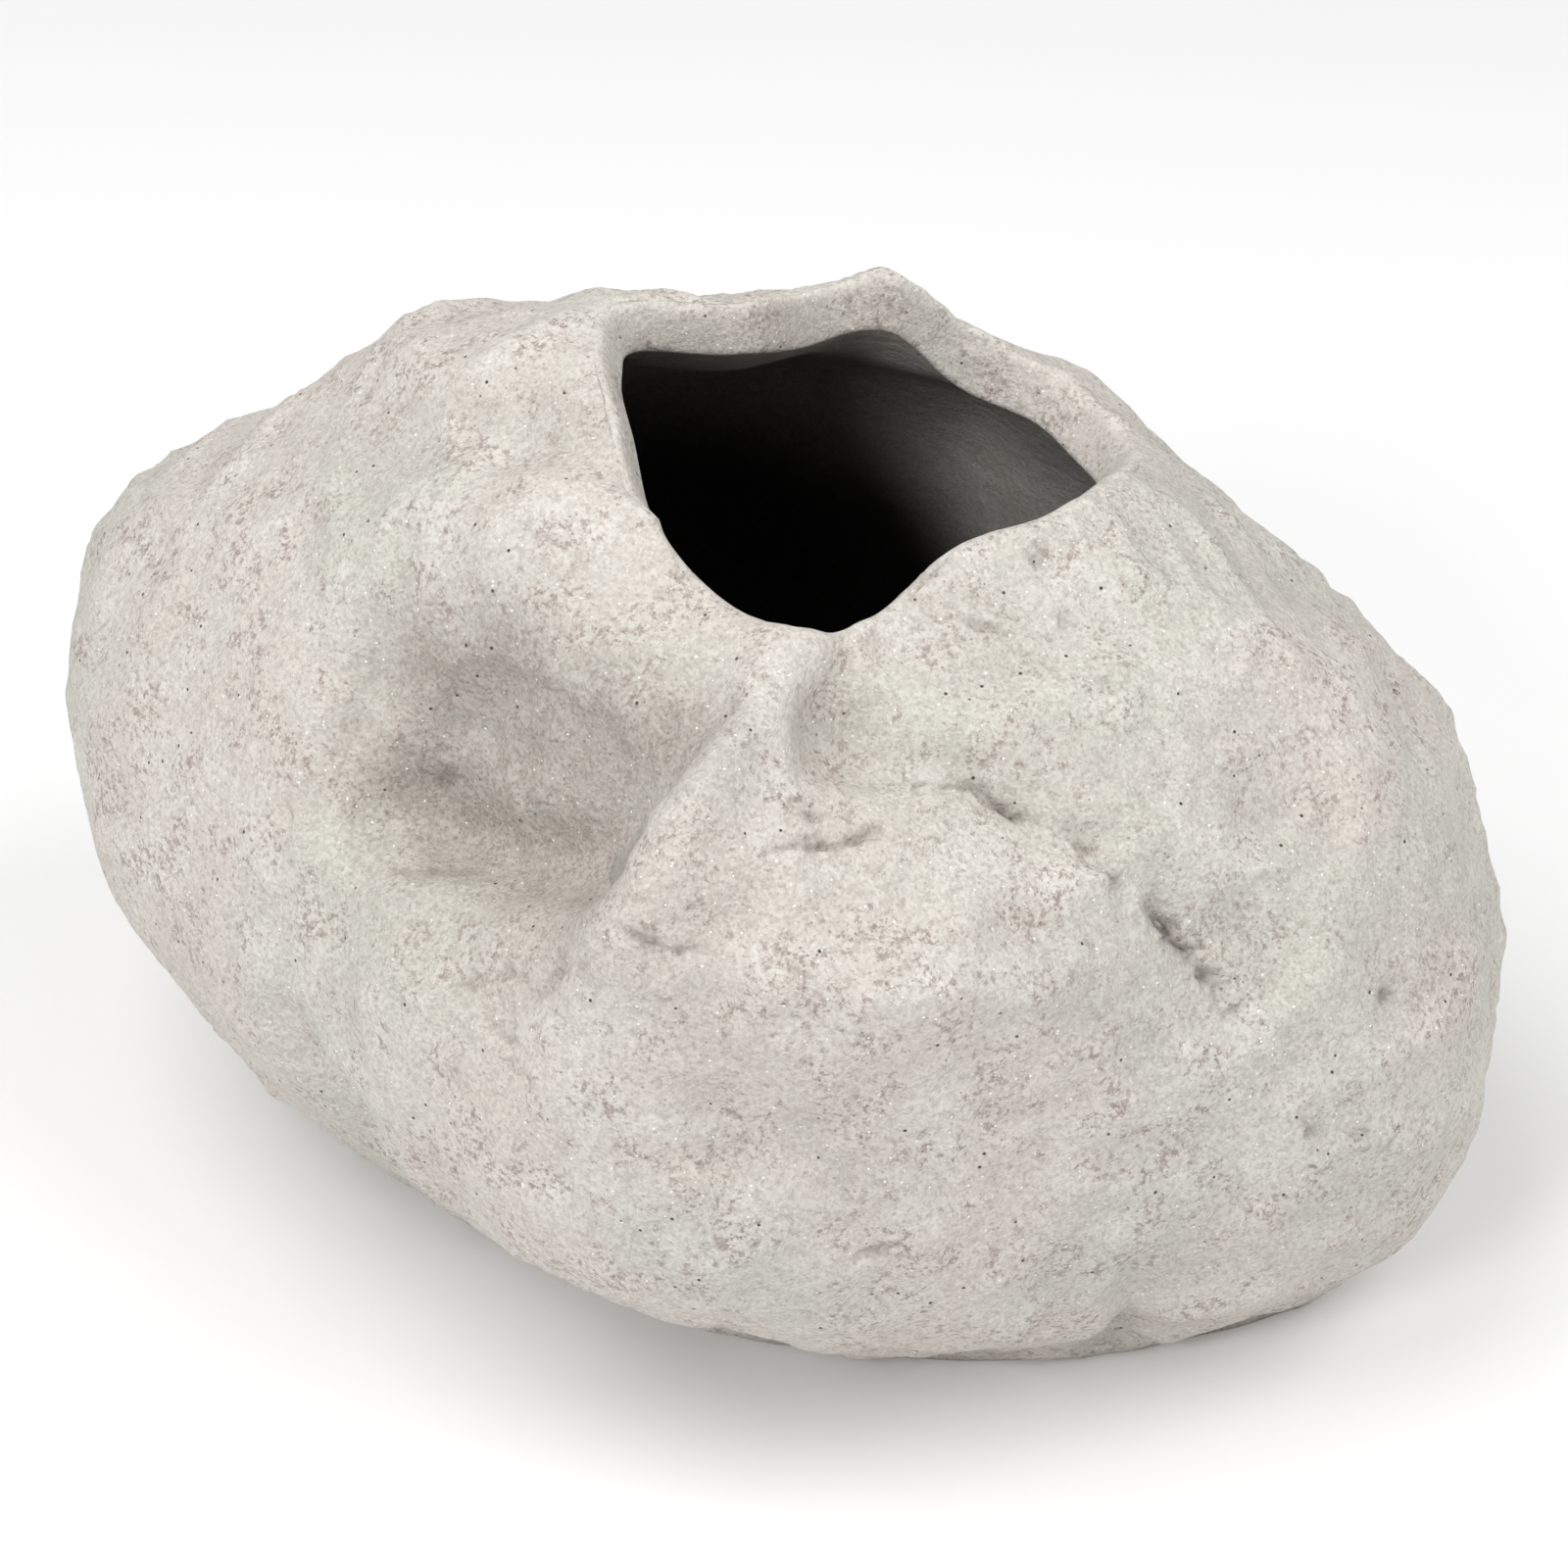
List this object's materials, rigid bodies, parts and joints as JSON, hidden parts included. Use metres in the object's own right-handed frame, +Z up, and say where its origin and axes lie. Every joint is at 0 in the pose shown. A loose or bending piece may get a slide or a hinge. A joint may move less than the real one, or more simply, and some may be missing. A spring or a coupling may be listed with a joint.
{
  "type": "resin cave ornament",
  "caption": "Hollow stone-shaped cave of cast resin with a wide opening in its top, closed underneath by a bonded plate, for fish to hide in.",
  "frame": {"origin": "on the ground, on the flat underside, straight below the middle of the stone", "axes": "+Z up; X along the stone, +X towards its low end with the large rounded lobe; -Y is the side with the hollow, which the opening tips towards"},
  "size_m": [0.1589, 0.1166, 0.0982],
  "materials": {
    "stone_resin": "matte cast resin, speckled like pale granite",
    "plate_resin": "cast resin, ground flat underneath",
    "bond_epoxy": "cured epoxy, ground flat"
  },
  "bodies": {
    "root": {"rock_shell": "stone_resin", "base_plate": "plate_resin", "bond_bead": "bond_epoxy"}
  },
  "joints": []
}
